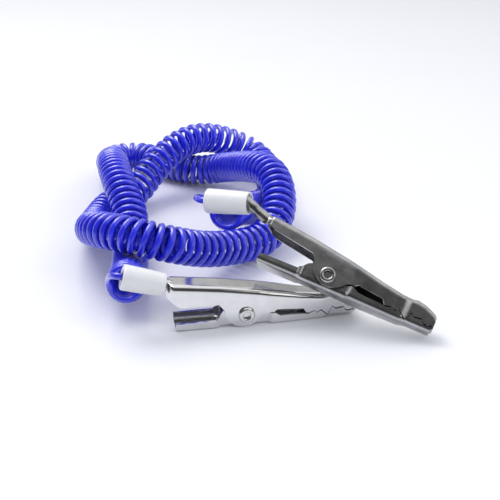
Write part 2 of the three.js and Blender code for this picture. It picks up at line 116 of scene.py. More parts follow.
# Distance from curl to curl, as the photograph shows it, at the route's points.
PITCHES = ((0, 1.95), (3, 2.35), (7, 2.55), (10, 2.8), (13, 3.3), (15, 2.9), (18, 2.4), (21, 2.45),
           (23, 2.6), (26, 2.6), (30, 2.7), (32, 2.9), (34, 2.7), (36, 2.45), (38, 2.4), (41, 2.6),
           (44, 2.6), (48, 2.9), (51, 2.95), (53, 3.2), (57, 3.1), (60, 2.9), (64, 2.5), (66, 2.2))
SQUEEZE = 0.8        # on the inside of a tight bend the curls press together to this share of the wire
TIGHTEST = 0.42      # least share of the pitch left there
EVEN_OUT = 5         # points of the axis either way over which the spacing changes
BEND_OVER = 3        # points of the axis either way between which its bend is measured
AXIS_STEP = 1.0      # distance between the points of the smoothed axis
SPLINE_STEPS = 60    # points of the spline between two points of the route
SMOOTHINGS = 14      # times that the axis is averaged with its neighbours

# Side profiles of a clip in its own frame, (x, z): x to the nose, bottom plate at z = 0.
TOP_LINE = ((-18.6, 12.54), (-17.45, 12.4), (-6.5, 11.1), (3.4, 9.5), (13.5, 7.5), (18.65, 6.7),
            (20.6, 6.65), (22.5, 7.0), (24.6, 6.55), (26.5, 5.75), (27.5, 5.2), (28.0, 4.5))
TEETH = ((15.2, 2.1), (15.9, 2.05), (17.2, 2.6), (18, 2.0), (19, 2.6), (20.8, 0.95), (22, 3.1),
         (22.9, 2.4), (24.8, 2.7), (25.6, 1.7), (26.4, 1.6), (27.3, 2.2))
TEETH_GAP = 0.34
# The upper jaw's round ears: centre, radius and the angle, in degrees, at which the arc ends.
EARS = {"front": {"x": -0.7, "z": 4.92, "radius": 4.74, "end": -20},
        "rear": {"x": 0.6, "z": 5.9, "radius": 5.2, "end": -32}}
HANDLE_EDGES = {"front": ((-20, 9.0), (-19.2, 8.8), (-16.2, 6.4), (-6.8, 6.6), (-5.5, 5.0)),
                "rear": ((-20, 10.6), (-19.2, 10.4), (-16.6, 9.0), (-5.6, 7.2), (-4.65, 6.2))}
EAR_STEPS = 24
# The upper jaw's back end closes in along BACK_STEP, with more sections there.
BACK_STEP = (-17.8, -19.4)
BACK_HALF_WIDTH = 1.9
BACK_STATIONS = ((-17.8, 0), (-18.2, 0), (-19.0, 0))
UPPER_FRONT = ((6.2, 3.45), (6.95, 3.45), (7.7, 4.1), (14.4, 3.5))
UPPER_TIP = ((27.8, 1.4), (28.0, 1.4))
UPPER_ENDS = (-19.4, 28.0)
UPPER_STEP = 0.6
LOWER_BACK = ((-17.5, 2.1), (-7.4, 2.25), (-5.6, 4.5), (-3.6, 5.5), (-1.6, 6.05), (0, 6.25),
              (1.6, 5.9), (2.9, 4.9), (3.7, 3.6), (5.4, 3.1), (6.9, 3.1), (8.5, 2.2), (14.6, 2.05))
LOWER_TIP = ((27.2, 1.75), (27.5, 1.4))
LOWER_ENDS = (-17.5, 27.5)
LOWER_STEP = 0.5
LOWER_CORNER = 1.1
BOTTOM_LINE = ((-18, 0.0), (19.7, 0.0), (21.5, 0.35), (28, 0.35))
# Both jaws taper from TAPER_FROM on, by TAPER on each side per millimetre, and step in along NOSE_STEP.
NOSE_STEP = (19.7, 21.5)
TAPER_FROM = 6
TAPER = 0.058
# Where the lower jaw is drawn in to pass between the ears: x, and 1 where it is narrow.
DRAWN_IN = ((-40, 0), (-7.3, 0), (-6.2, 1), (5.6, 1), (6.5, 0), (40, 0))
LEAST_STATION = 0.05   # between two sections
MERGE = 0.004          # points nearer than this become one
BEVEL_SEGMENTS = 3
BEVEL_ANGLE = math.radians(50)

# Distances below the hinge between which the spring was meant to change from riding the handle to
# following the lower jaw; the springs operator works out the points there but does nothing with them.
SPRING_FOLLOWS = (0.4, 1.9)

# The rear clip's plating is painted darker (level), a painted shade for the dark surroundings that its
# leaning sides reflect; it is also duller (dull), which makes it rougher and its streaks darker.
PLATING_AND_PAINTED_SHADE = {"front": {"level": 1.0, "dull": 0.0}, "rear": {"level": 0.66, "dull": 0.7}}

# The surroundings' grey in reflections, by height from the horizon at 0 to straight up at 1: behind the
# part, and on the viewer's side. CHANGE_OVER goes from the viewer's side to behind.
BEHIND = ((0.0, 0.80), (0.10, 0.42), (0.34, 0.34), (0.52, 1.0))
VIEWER_SIDE = ((0.0, 0.30), (0.12, 0.07), (0.86, 0.05), (0.97, 0.95))
CHANGE_OVER = ((0.42, 0.0), (0.54, 1.0))
AMBIENT_LEVEL = 0.80
# The lamps, in metres and watts.
LAMPS = {"key": {"place": (-0.25, 0.30, 0.55), "size": 0.45, "power": 2.2},
         "fill": {"place": (0.5, -0.25, 0.45), "size": 0.5, "power": 0.7}}
LAMP_COLOUR = (1.0, 0.985, 0.96)
LAMP_TARGET = Vector((-0.005, 0.03, 0.0))
FLOOR_HALF = 3.0
FLOOR_BOUNCE = (0.72, 0.73, 0.75, 1)


# ---------------------------------------------------------------- settings

def millimetres(name, description, default, **more):
    """A length property in millimetres."""
    return bpy.props.FloatProperty(name=name, description=description, default=default, min=0.01,
                                   precision=3, **more)


def colour(name, description, default):
    """A linear colour property."""
    return bpy.props.FloatVectorProperty(name=name, description=description, default=default,
                                         subtype="COLOR", size=3, min=0.0, max=1.0)


class CordSettings(bpy.types.PropertyGroup):
    """The curly cord"""
    wire: millimetres("Wire", "Outside diameter of the insulated wire, mm", 1.8)
    coil_radius: millimetres("Coil radius", "Centre of the wire to the axis of the curls, mm", 4.1)
    pitch_scale: bpy.props.FloatProperty(name="Pitch scale", default=1.0, min=0.9, max=3.0,
                                         description="Stretches the curls along the axis")
    steps: bpy.props.IntProperty(name="Steps", description="Points in one curl", default=22, min=8)
    sides: bpy.props.IntProperty(name="Sides", description="Sides of the wire", default=12, min=5)
    blue: colour("Blue", "Colour of the insulation", (0.012, 0.018, 0.98))


class ClipSettings(bpy.types.PropertyGroup):
    """The two alligator clips"""
    sheet: millimetres("Sheet", "Thickness of the pressed steel, mm", 0.55)
    half_width: millimetres("Half width", "Half the outside width behind the taper, mm", 3.6)
    ear_half_width: millimetres("Ear half width", "Lower jaw between the upper jaw's ears, mm", 2.75)
    nose_half_width: millimetres("Nose half width", "Half the outside width at the nose, mm", 2.35)
    corner: millimetres("Corner", "Outside radius between plate and side, mm", 1.3)
    edge: millimetres("Edge", "Rounding of the cut edges, mm", 0.12)
    nickel: colour("Nickel", "Colour of the plating", (0.80, 0.80, 0.81))
    sleeve_white: colour("Sleeve", "Colour of the plastic sleeves", (0.90, 0.90, 0.89))
    copper: colour("Copper", "Colour of the bare conductor", (0.72, 0.38, 0.20))


class StageSettings(bpy.types.PropertyGroup):
    """Camera, light and floor"""
    lens: bpy.props.FloatProperty(name="Lens", description="Focal length", default=72.0, unit="CAMERA")
    tilt: bpy.props.FloatProperty(name="Tilt", description="Camera's angle below the horizon",
                                  default=math.radians(24.4), subtype="ANGLE")
    height: millimetres("Height", "Camera above the surface, mm", 119.4)
    floor: colour("Floor", "Colour of the surface", (0.96, 0.96, 0.965))
    shade: colour("Ambient", "Tint of the light in the shadows", (0.86, 0.89, 1.0))


# ---------------------------------------------------------------- shader helpers

class Value:
    """A shader socket that takes part in Python expressions."""

    def __init__(self, graph, socket):
        self.graph, self.socket = graph, socket

    def _math(self, operation, a, b):
        return self.graph.node("ShaderNodeMath", {"operation": operation}, {0: a, 1: b})

    def __add__(self, other):
        return self._math("ADD", self, other)

    def __sub__(self, other):
        return self._math("SUBTRACT", self, other)

    def __rsub__(self, other):
        return self._math("SUBTRACT", other, self)

    def __mul__(self, other):
        return self._math("MULTIPLY", self, other)

    def __or__(self, other):
        """The larger of the two."""
        return self._math("MAXIMUM", self, other)

    __radd__ = __add__
    __rmul__ = __mul__
    __ror__ = __or__


class Graph:
    """Builds a node tree; every node comes from node()."""

    def __init__(self, tree):
        self.tree = tree
        tree.nodes.clear()

    def node(self, kind, settings=None, inputs=None, out=0):
        n = self.tree.nodes.new(kind)
        for key, value in (settings or {}).items():
            if key == "ramp":
                while len(n.color_ramp.elements) > 1:
                    n.color_ramp.elements.remove(n.color_ramp.elements[-1])
                for i, (place, shade) in enumerate(value):
                    e = n.color_ramp.elements[0] if i == 0 else n.color_ramp.elements.new(place)
                    e.position, e.color = place, (*shade, 1.0)
            else:
                setattr(n, key, value)
        for key, value in (inputs or {}).items():
            if isinstance(value, Value):
                self.tree.links.new(value.socket, n.inputs[key])
            else:
                n.inputs[key].default_value = value
        return Value(self, n.outputs[out]) if n.outputs else None

    def mix(self, factor, a, b, blend="MIX"):
        """Colour a where factor is 0, and b, or a times b for MULTIPLY, where it is 1."""
        return self.node("ShaderNodeMix", {"data_type": "RGBA", "blend_type": blend},
                         {0: factor, 6: a, 7: b}, out=2)

    def noise(self, scale, detail=2.0):
        """Noise of the object's own space; scale is in bumps per millimetre."""
        where = self.node("ShaderNodeTexCoord", out="Object")
        return self.node("ShaderNodeTexNoise", {},
                         {"Vector": where, "Scale": scale / MM, "Detail": detail})

    def ramp(self, factor, stops):
        """Colour by factor, from stops (place, colour)."""
        return self.node("ShaderNodeValToRGB", {"ramp": stops}, {0: factor})

    def greys(self, factor, stops):
        """Grey by factor, from stops (place, level)."""
        return self.ramp(factor, tuple((place, grey(level)) for place, level in stops))

    def tones(self, noise, low, high):
        """Colour that goes from low to high over the middle range of a noise."""
        return self.ramp(noise, ((0.3, low), (0.7, high)))

    def bump(self, height, distance, strength):
        """Normal of a relief; distance is in millimetres."""
        return self.node("ShaderNodeBump", {}, {"Height": height, "Distance": distance * MM,
                                               "Strength": strength})


def surface(name, build):
    """A material: build(graph) returns the socket values of its Principled shader."""
    m = bpy.data.materials.new(name)
    m.use_nodes = True
    g = Graph(m.node_tree)
    shader = g.node("ShaderNodeBsdfPrincipled", {}, build(g))
    g.node("ShaderNodeOutputMaterial", {}, {"Surface": shader})
    return m


def grey(level):
    return (level, level, level)


def times(tint, level):
    """A colour made darker."""
    return tuple(c * level for c in tint)


def nickel_plate(name, tint, dull):
    """Bright plating with faint rolling lines and cloudy polish; dull goes from 0 to 1."""
    def build(g):
        cloud = g.noise(0.35, 3.0)
        fine = g.noise(6.0, 4.0)
        darkest = 0.9 - 0.3 * dull
        streaks = 0.25 + 0.9 * dull
        smoothest = 0.09 + 0.14 * dull
        relief = 0.02 + 0.03 * dull
        return {"Base Color": g.tones(cloud + (fine - 0.5) * streaks, times(tint, darkest), tint),
                "Metallic": 1.0, "Roughness": smoothest + cloud * 0.08,
                "Normal": g.bump(fine * 0.5 + cloud, relief, 0.35)}
    return surface(name, build)


def spring_steel(g):
    """Drawn wire with faint lines."""
    lines = g.noise(3.0, 3.0)
    return {"Base Color": g.tones(lines, grey(0.42), grey(0.60)), "Metallic": 1.0,
            "Roughness": 0.22 + lines * 0.12, "Normal": g.bump(lines, 0.01, 0.3)}


def white_plastic(tint):
    """Slightly uneven white plastic that lets a little light in."""
    def build(g):
        cloud = g.noise(0.5)
        grain = g.noise(7.0)
        return {"Base Color": g.tones(cloud, times(tint, 0.965), tint), "Roughness": 0.28 + cloud * 0.1,
                "Coat Weight": 0.15, "Subsurface Weight": 0.08,
                "Subsurface Radius": (2 * MM, 2 * MM, 2 * MM), "Normal": g.bump(grain, 0.012, 0.25)}
    return build


def blue_insulation(tint):
    """Glossy blue plastic, with painted shade between the curls, where less light gets in."""
    def build(g):
        cloud = g.noise(0.25)
        grain = g.noise(4.0)
        deep = times(tint, 0.82)
        light = (tint[0] + 0.004, tint[1] + 0.012, min(1.0, tint[2] * 1.08))
        tone = g.ramp(cloud, ((0.32, deep), (0.68, light)))
        # Painted shade: the blue is multiplied darker where ambient occlusion finds other curls close
        # by.
        open_to_light = g.node("ShaderNodeAmbientOcclusion", {"samples": 8}, {"Distance": 2.0 * MM},
                               out="AO")
        shade = g.greys(open_to_light, ((0.25, 0.16), (0.8, 1.0)))
        return {"Base Color": g.mix(1.0, tone, shade, "MULTIPLY"), "Roughness": 0.2 + grain * 0.08,
                "Coat Weight": 1.0, "Coat Roughness": 0.16, "Coat IOR": 1.7,
                "Specular IOR Level": 0.5, "Transmission Weight": 0.12, "IOR": 1.5,
                "Normal": g.bump(grain, 0.01, 0.2)}
    return build


def bare_copper(tint):
    """Twisted copper strands."""
    def build(g):
        strands = g.noise(3.0)
        return {"Base Color": g.tones(strands, times(tint, 0.7), tint), "Metallic": 1.0,
                "Roughness": 0.25 + strands * 0.15, "Normal": g.bump(strands, 0.03, 0.5)}
    return build


# ---------------------------------------------------------------- mesh helpers

def along(line, x):
    """Height of a polyline at x."""
    for (x0, z0), (x1, z1) in zip(line, line[1:]):
        if x <= x1:
            return z0 + (z1 - z0) * (x - x0) / (x1 - x0)
    return line[-1][1]


def share(span, x):
    """How far along a span x is, from 0 at its first end to 1 at its second."""
    return min(1.0, max(0.0, (x - span[0]) / (span[1] - span[0])))


def ease(t):
    """Smooth step from 0 to 1."""
    return t * t * (3 - 2 * t)


def add_object(name, verts, faces, material, smooth=True):
    """A mesh object from points in millimetres of the part's frame."""
    mesh = bpy.data.meshes.new(name)
    mesh.from_pydata([tuple(c * MM for c in v) for v in verts], [], faces)
    mesh.materials.append(material)
    for p in mesh.polygons:
        p.use_smooth = smooth
    ob = bpy.data.objects.new(name, mesh)
    bpy.context.scene.collection.objects.link(ob)
    return ob


def clean(ob):
    """Merges doubled points, drops faces with no area and points the faces outward."""
    bm = bmesh.new()
    bm.from_mesh(ob.data)
    bmesh.ops.remove_doubles(bm, verts=bm.verts, dist=MERGE * MM)
    bmesh.ops.dissolve_degenerate(bm, edges=bm.edges, dist=MERGE * MM)
    bmesh.ops.recalc_face_normals(bm, faces=bm.faces)
    bm.to_mesh(ob.data)
    bm.free()


def bake_modifiers(ob):
    """Applies an object's modifiers to its mesh."""
    graph = bpy.context.evaluated_depsgraph_get()
    mesh = bpy.data.meshes.new_from_object(ob.evaluated_get(graph))
    ob.modifiers.clear()
    old, ob.data = ob.data, mesh
    bpy.data.meshes.remove(old)


def pose_matrix(clip):
    """From a clip's own frame to the part's frame, in millimetres."""
    yaw, pitch, roll = (math.radians(a) for a in POSES[clip]["turn"])
    turn = Matrix.Rotation(yaw, 4, "Z") @ Matrix.Rotation(pitch, 4, "Y") @ Matrix.Rotation(roll, 4, "X")
    place = Vector(POSES[clip]["pivot"]) - ORIGIN
    return Matrix.Translation(place) @ turn @ Matrix.Translation((0, 0, -HINGE_Z))


def steel(clip):
    """The plating of a clip."""
    return bpy.data.materials[f"{clip}_nickel_plate"]


def half_width(x, s):
    """Outside half width at x: closed in at the back, straight, tapered, then stepped in at the nose."""
    if x < TAPER_FROM:
        return s.half_width + (BACK_HALF_WIDTH - s.half_width) * ease(share(BACK_STEP, x))
    side = s.half_width - TAPER * (x - TAPER_FROM)
    return side + (s.nose_half_width - side) * share(NOSE_STEP, x)


def lower_half_width(x, s):
    """The same for the lower jaw, which is drawn in at the ears."""
    wide = half_width(x, s)
    return wide + (s.ear_half_width - wide) * ease(along(DRAWN_IN, x))


def half_section(half, plate, radius, up, cut):
    """Points (y, z) from the middle of the plate round the corner down (up = 1) or up (-1) the side."""
    arc, wall, flat = 7, 7, 4
    pts = [(i / flat * (half - radius), plate) for i in range(flat)]
    drop = abs(plate - cut)
    most = math.pi / 2 if drop >= radius else math.acos(max(-1.0, 1 - drop / radius))
    for i in range(arc + 1):
        a = most * i / arc
        pts.append((half - radius + radius * math.sin(a), plate - up * radius * (1 - math.cos(a))))
    y, z = pts[-1]
    pts += [(y, z + (cut - z) * i / wall) for i in range(1, wall + 1)]
    return pts


def ear_points(ear):
    """Round lower edge of the upper jaw's ear."""
    out = []
    for i in range(EAR_STEPS + 1):
        a = math.radians(180 + (180 + ear["end"]) * i / EAR_STEPS)
        out.append((ear["x"] + ear["radius"] * math.cos(a), ear["z"] + ear["radius"] * math.sin(a)))
    return tuple(out)


def stations(line, lo, hi, step):
    """Places along x: the corners of the profile and an even spacing between them."""
    xs = {round(x, 4) for x, _ in line if lo <= x <= hi}
    xs |= {lo, hi}
    n = int((hi - lo) / step)
    xs |= {round(lo + (hi - lo) * i / n, 4) for i in range(n + 1)}
    out = []
    for x in sorted(xs):
        if not out or x - out[-1] > LEAST_STATION:
            out.append(x)
    return out


def grid_faces(rows, width):
    """Four-sided faces between rows of points."""
    faces = []
    for r in range(rows - 1):
        for c in range(width - 1):
            a = r * width + c
            faces.append((a, a + 1, a + width + 1, a + width))
    return faces


def sheet_metal(ob, thickness, edge):
    """Gives a folded surface the sheet's thickness inward, with rounded cut edges."""
    solid = ob.modifiers.new("sheet", "SOLIDIFY")
    solid.thickness, solid.offset, solid.use_even_offset = thickness * MM, -1.0, True
    bevel = ob.modifiers.new("edges", "BEVEL")
    bevel.width, bevel.segments, bevel.limit_method = edge * MM, BEVEL_SEGMENTS, "ANGLE"
    bevel.angle_limit, bevel.harden_normals = BEVEL_ANGLE, True
    bake_modifiers(ob)


def fold(name, sections, cap_nose, material, matrix):
    """A folded sheet from sections [(x, half section)], mirrored to both sides."""
    verts, width = [], 0
    for x, half in sections:
        ring = [(-y, z) for y, z in reversed(half)] + list(half[1:])
        width = len(ring)
        verts += [matrix @ Vector((x, y, z)) for y, z in ring]
    faces = grid_faces(len(sections), width)
    if cap_nose:
        faces.append(tuple(range((len(sections) - 1) * width, len(sections) * width)))
    ob = add_object(name, verts, faces, material)
    clean(ob)
    return ob


def outward(ob, point, direction):
    """Turns the faces so that the one nearest point looks along direction."""
    face = min(ob.data.polygons, key=lambda p: (p.center - point).length)
    if face.normal.dot(direction) < 0:
        ob.data.flip_normals()


# ---------------------------------------------------------------- clip pieces

def upper_jaw(clip, s):
    """Upper jaw: plate, sides with ears, window edge and teeth, and the crimp barrel."""
    teeth = tuple((x, z + TEETH_GAP / 2) for x, z in TEETH)
    edge = HANDLE_EDGES[clip] + ear_points(EARS[clip]) + UPPER_FRONT + teeth + UPPER_TIP
    sections = []
    for x in stations(edge + TOP_LINE + BACK_STATIONS, *UPPER_ENDS, UPPER_STEP):
        half = half_width(x, s)
        plate = along(TOP_LINE, x)
        sections.append((x, half_section(half, plate, min(s.corner, 0.8 * half), 1, along(edge, x))))
    m = pose_matrix(clip)
    ob = fold(f"{clip}_upper_jaw_pressing", sections, True, steel(clip), m)
    outward(ob, m @ Vector((0, 0, along(TOP_LINE, 0))) * MM, m.to_3x3() @ Vector((0, 0, 1)))
    barrel = crimp_barrel(clip)
    sheet_metal(ob, s.sheet, s.edge)
    sheet_metal(barrel, s.sheet, s.edge * 0.8)
    with bpy.context.temp_override(active_object=ob, selected_editable_objects=[ob, barrel]):
        bpy.ops.object.join()
    return ob


def tail_line(clip):
    """Start and end of the crimp barrel's centre line, in the clip's own frame."""
    start = Vector((TAIL_FROM, 0, along(TOP_LINE, TAIL_FROM) - BARREL_RADIUS))
    length = TAIL_FROM - TAIL_END
    return start, start + Vector((-length, 0, POSES[clip]["tail"] * length))


def crimp_barrel(clip):
    """The tail rolled into a barrel round the conductor, its wings opening out towards the plate."""
    start, end = tail_line(clip)
    axis = (end - start).normalized()
    across = Vector((0, 1, 0))
    up = across.cross(axis)
    up = up if up.z > 0 else -up
    m = pose_matrix(clip)
    length = (end - start).length
    verts = []
    for r in range(BARREL_ROWS):
        at = length * r / (BARREL_ROWS - 1)
        closed = min(1.0, at / BARREL_CLOSES) ** 0.8
        half_opening = math.radians(BARREL_OPEN + (BARREL_CLOSED - BARREL_OPEN) * closed)
        pinch = 1 - CRIMP_DEPTH * math.exp(-((at - CRIMP_AT) / CRIMP_SPREAD) ** 2)
        radius = BARREL_RADIUS * pinch
        for c in range(BARREL_POINTS):
            a = half_opening * (2 * c / (BARREL_POINTS - 1) - 1)
            round_it = up * (radius * math.cos(a)) + across * (radius * math.sin(a))
            verts.append(m @ (start + axis * at + round_it))
    faces = grid_faces(BARREL_ROWS, BARREL_POINTS)
    ob = add_object(f"{clip}_crimp_barrel", verts, faces, steel(clip))
    top = m @ (start + axis * (length * 0.7) + up * BARREL_RADIUS)
    outward(ob, top * MM, m.to_3x3() @ up)
    return ob


def lower_jaw(clip, s):
    """Lower jaw: bottom plate, sides with teeth, drawn in between the upper jaw's ears."""
    teeth = tuple((x, z - TEETH_GAP / 2) for x, z in TEETH)
    edge = LOWER_BACK + teeth[:-1] + LOWER_TIP
    sections = []
    for x in stations(edge + BOTTOM_LINE, *LOWER_ENDS, LOWER_STEP):
        half = lower_half_width(x, s)
        plate = along(BOTTOM_LINE, x)
        sections.append((x, half_section(half, plate, LOWER_CORNER, -1, along(edge, x))))
    m = pose_matrix(clip)
    ob = fold(f"{clip}_lower_jaw_pressing", sections, False, steel(clip), m)
    outward(ob, m @ Vector((10, 0, 0)) * MM, m.to_3x3() @ Vector((0, 0, -1)))
    sheet_metal(ob, s.sheet, s.edge)
    return ob


def lathe(name, profile, sides, material, matrix):
    """Profile (radius, height) turned about local y; a closed profile gives a ring."""
    verts, n = [], len(profile)
    for k in range(sides):
        a = 2 * math.pi * k / sides
        verts += [matrix @ Vector((r * math.cos(a), h, r * math.sin(a))) for r, h in profile]
    faces = []
    for k in range(sides):
        for i in range(n):
            a, b = k * n + i, k * n + (i + 1) % n
            c, d = ((k + 1) % sides) * n + (i + 1) % n, ((k + 1) % sides) * n + i
            faces.append((a, b, c, d))
    ob = add_object(name, verts, faces, material)
    clean(ob)
    return ob


def rivet(clip):
    """Hollow rivet with a rolled rim on each side."""
    body, hole, rim, seat, crest, roll, rise, steps = 1.3, 0.95, 2.05, 3.72, 4.02, 0.48, 0.36, 8
    side = [(hole + 0.08, 0.0), (hole, 0.12 - crest)]
    for i in range(steps + 1):
        a = math.pi * i / steps
        side.append((hole + roll - roll * math.cos(a), -crest - rise * math.sin(a)))
    side += [(rim, 0.1 - crest), (rim - 0.06, -seat), (body, -seat)]
    profile = side + [(r, -h) for r, h in reversed(side[1:])]
    m = pose_matrix(clip) @ Matrix.Translation((0, 0, HINGE_Z))
    return lathe(f"{clip}_hollow_rivet", profile, 56, steel(clip), m)


def spring_line():
    """Centre line of the torsion spring in the clip's own frame, as in part.mjs."""
    mean, pitch, turns, leg_x, wire = 2.05, 1.15, 2, -6.2, 0.6
    steps, leg_steps = 84, 8
    below_plate = 1.2
    high = along(TOP_LINE, leg_x) - below_plate
    lean = math.atan2(high - HINGE_Z - mean, -leg_x)
    a0 = math.pi / 2 - lean
    sweep = a0 + math.pi / 2 + 2 * math.pi * turns
    width = pitch * sweep / (2 * math.pi)
    coil = []
    for i in range(steps + 1):
        a = a0 - sweep * i / steps
        y = width * (i / steps - 0.5)
        coil.append(Vector((mean * math.cos(a), y, HINGE_Z + mean * math.sin(a))))
    leg = -leg_x / math.cos(lean)
    out = Vector((-math.cos(lean), 0, math.sin(lean)))
    first = [coil[0] + out * (leg * (1 - i / leg_steps)) for i in range(leg_steps)]
    last = [coil[-1] + Vector((leg_x * i / leg_steps, 0, 0)) for i in range(1, leg_steps + 1)]
    return first + coil + last, wire


def sweep(name, path, radius, sides, material):
    """A round tube along points, with closed flat ends and no twist."""
    verts, faces, n = [], [], len(path)
    tangents = []
    for i in range(n):
        a, b = path[max(0, i - 1)], path[min(n - 1, i + 1)]
        tangents.append((b - a).normalized())
    side = tangents[0].orthogonal().normalized()
    for i in range(n):
        if i:
            side = tangents[i - 1].rotation_difference(tangents[i]) @ side
            side = (side - tangents[i] * side.dot(tangents[i])).normalized()
        up = tangents[i].cross(side)
        for k in range(sides):
            a = 2 * math.pi * k / sides
            verts.append(path[i] + side * (radius * math.cos(a)) + up * (radius * math.sin(a)))
    for i in range(n - 1):
        for k in range(sides):
            a, b = i * sides + k, i * sides + (k + 1) % sides
            faces.append((a, b, b + sides, a + sides))
    faces.append(tuple(reversed(range(sides))))
    faces.append(tuple(range((n - 1) * sides, n * sides)))
    return add_object(name, verts, faces, material)


def sleeve_line(clip):
    """A sleeve's mouth, cord end, direction and the start of the wire in it, in the part's frame."""
    m, fit = pose_matrix(clip), SLEEVES[clip]
    start, end = (m @ p for p in tail_line(clip))
    tail = (end - start).normalized()
    mouth = end - tail * fit["covers"]
    axis = (fit["end"] - ORIGIN - mouth).normalized() if fit["end"] else tail
    in_line = tail.dot(axis)
    mouth = mouth + (tail - axis * in_line).normalized() * fit["aside"]
    cover = fit["covers"] * in_line + BARREL_RADIUS * math.sqrt(max(0.0, 1 - in_line ** 2))
    return {"mouth": mouth, "out": mouth + axis * fit["length"], "axis": axis,
            "wire": mouth + axis * (cover + WIRE_START)}


def sleeve(clip):
    """White plastic sleeve with softly rounded ends and an inner lip round the cord."""
    line = sleeve_line(clip)
    length = SLEEVES[clip]["length"]
    clip_end, cord_end, bore, lip = 2.9, 3.2, 2.5, 1.5
    near, inner, far, curl, most_swell = 0.15, 0.2, 0.5, 0.3, 0.04
    side_steps, far_steps = 8, 5
    profile = [(bore, near)]
    for a in (0.8, 1.57):
        profile.append((bore + inner - inner * math.cos(a), near - near * math.sin(a)))
    for a in (0, 0.8, 1.57):
        profile.append((clip_end - near + near * math.sin(a), near - near * math.cos(a)))
    for i in range(1, side_steps):
        t = i / side_steps
        swell = most_swell * math.sin(math.pi * t)
        profile.append((clip_end + (cord_end - clip_end) * t + swell, near + (length - 0.7) * t))
    for i in range(far_steps + 1):
        a = math.pi / 2 * i / far_steps
        profile.append((cord_end - far + far * math.cos(a), length - far + far * math.sin(a)))
    for a in (0, 0.5, 1.0, 1.57):
        profile.append((lip + curl - curl * math.sin(a), length - curl + curl * math.cos(a)))
    profile += [(lip, length - 1.2), (bore, length - 1.8)]
    turn = Vector((0, 1, 0)).rotation_difference(line["axis"]).to_matrix().to_4x4()
    return lathe(f"{clip}_plastic_sleeve", profile, 72, bpy.data.materials["white_plastic"],
                 Matrix.Translation(line["mouth"]) @ turn)


# ---------------------------------------------------------------- the curly cord

def smooth_axis():
    """Centripetal spline through the route, evenly spaced and smoothed, as in part.mjs.

    Gives the points, and for each where it lies among the route's points.
    """
    pts = [Vector((x, y, z + CLEAR)) - ORIGIN for x, y, z in ROUTE]
    pts = [pts[0] * 2 - pts[1]] + pts + [pts[-1] * 2 - pts[-2]]
    dense, owner = [], []
    for i in range(1, len(pts) - 2):
        p0, p1, p2, p3 = pts[i - 1:i + 3]
        t1 = (p1 - p0).length ** 0.5
        t2 = t1 + (p2 - p1).length ** 0.5
        t3 = t2 + (p3 - p2).length ** 0.5
        for k in range(SPLINE_STEPS):
            t = t1 + (t2 - t1) * k / SPLINE_STEPS
            a1 = p0.lerp(p1, t / t1)
            a2 = p1.lerp(p2, (t - t1) / (t2 - t1))
            a3 = p2.lerp(p3, (t - t2) / (t3 - t2))
            b1 = a1.lerp(a2, t / t2)
            b2 = a2.lerp(a3, (t - t1) / (t3 - t1))
            dense.append(b1.lerp(b2, (t - t1) / (t2 - t1)))
            owner.append(i - 1 + k / SPLINE_STEPS)
    dense.append(pts[-2])
    owner.append(len(ROUTE) - 1)
    s = [0.0]
    for a, b in zip(dense, dense[1:]):
        s.append(s[-1] + (b - a).length)
    n = round(s[-1] / AXIS_STEP)
    out, where, i = [], [], 0
    for k in range(n + 1):
        at = s[-1] * k / n
        while i < len(s) - 2 and s[i + 1] < at:
            i += 1
        f = (at - s[i]) / (s[i + 1] - s[i])
        out.append(dense[i].lerp(dense[i + 1], f))
        where.append(owner[i] + (owner[i + 1] - owner[i]) * f)
    for _ in range(SMOOTHINGS):
        middle = [(out[i - 1] + out[i] * 2 + out[i + 1]) / 4 for i in range(1, n)]
        out = [out[0]] + middle + [out[-1]]
    return out, where


def curl_points(c):
    """The wire's centre line in its curls: left-handed, closer or wider as the photograph shows."""
    axis, where = smooth_axis()
    n = len(axis) - 1
    s, tangents = [0.0], []
    for a, b in zip(axis, axis[1:]):
        s.append(s[-1] + (b - a).length)
    for i in range(n + 1):
        tangents.append((axis[min(n, i + 1)] - axis[max(0, i - 1)]).normalized())
    left = Vector((-1, 0, 0))
    normals = [(left - tangents[0] * left.dot(tangents[0])).normalized()]
    for i in range(1, n + 1):
        v = tangents[i - 1].rotation_difference(tangents[i]) @ normals[-1]
        normals.append((v - tangents[i] * v.dot(tangents[i])).normalized())
    binormals = [t.cross(v) for t, v in zip(tangents, normals)]
    rate = []
    for i in range(n + 1):
        a, b = max(0, i - BEND_OVER), min(n, i + BEND_OVER)
        bend = tangents[a].angle(tangents[b]) / (s[b] - s[a])
        pitch = along(PITCHES, where[i]) * c.pitch_scale
        rate.append(1 / max(pitch, c.wire * SQUEEZE / max(TIGHTEST, 1 - c.coil_radius * bend)))
    near = [rate[max(0, i - EVEN_OUT):i + EVEN_OUT + 1] for i in range(n + 1)]
    rate = [sum(r) / len(r) for r in near]
    turned = [0.0]
    for i in range(1, n + 1):
        turned.append(turned[-1] + (rate[i] + rate[i - 1]) / 2 * (s[i] - s[i - 1]))
    end = math.atan2(left.dot(binormals[n]), left.dot(normals[n]))
    count = round(turned[n])
    total = -2 * math.pi * count + end
    steps = round(abs(total) / (2 * math.pi) * c.steps)
    path, i = [], 0
    for k in range(steps + 1):
        phase, want = total * k / steps, turned[n] * k / steps
        while i < n - 1 and turned[i + 1] < want:
            i += 1
        f = (want - turned[i]) / (turned[i + 1] - turned[i])
        middle = axis[i].lerp(axis[i + 1], f)
        a = normals[i].lerp(normals[i + 1], f).normalized()
        b = binormals[i].lerp(binormals[i + 1], f).normalized()
        path.append(middle + (a * math.cos(phase) + b * math.sin(phase)) * c.coil_radius)
    return path


